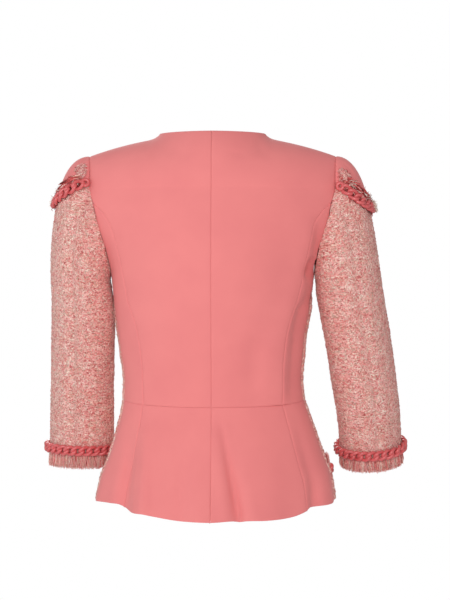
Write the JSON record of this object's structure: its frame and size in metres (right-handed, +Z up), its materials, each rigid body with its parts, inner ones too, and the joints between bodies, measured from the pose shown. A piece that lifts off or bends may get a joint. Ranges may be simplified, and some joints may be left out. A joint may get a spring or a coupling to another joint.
{
  "type": "cropped tweed jacket",
  "caption": "Cropped fitted jacket with a flared peplum, round neckline and three-quarter tweed sleeves, trimmed with chains and fringe, filled out as when worn.",
  "frame": {"origin": "middle of the neck opening at the height of the neck points, where the wearer's neck carries the jacket", "axes": "+Z up, the front faces -Y, +X is the wearer's left"},
  "size_m": [0.5132, 0.2636, 0.5312],
  "materials": {
    "crepe": "smooth matte coral crepe",
    "tweed": "boucle tweed of coral, pink, cream and tan yarns",
    "chain": "satin coral curb chain",
    "fringe": "frayed tweed yarns"
  },
  "bodies": {
    "root": {"back_left": "crepe", "back_right": "crepe", "side_back_left": "crepe", "side_back_right": "crepe", "front_left": "tweed", "front_right": "tweed", "peplum_back_left": "crepe", "peplum_back_right": "crepe", "peplum_side_left": "crepe", "peplum_side_right": "crepe", "peplum_front_left": "tweed", "peplum_front_right": "tweed", "sleeve_left": "tweed", "sleeve_right": "tweed", "sleeve_head_left": "crepe", "sleeve_head_right": "crepe", "shoulder_chain_left": "chain", "shoulder_chain_right": "chain", "cuff_chain_left": "chain", "cuff_chain_right": "chain", "peplum_chain_left": "chain", "peplum_chain_right": "chain", "shoulder_fringe_left": "fringe", "shoulder_fringe_right": "fringe", "cuff_fringe_left": "fringe", "cuff_fringe_right": "fringe", "peplum_fringe_left": "fringe", "peplum_fringe_right": "fringe"}
  },
  "joints": []
}
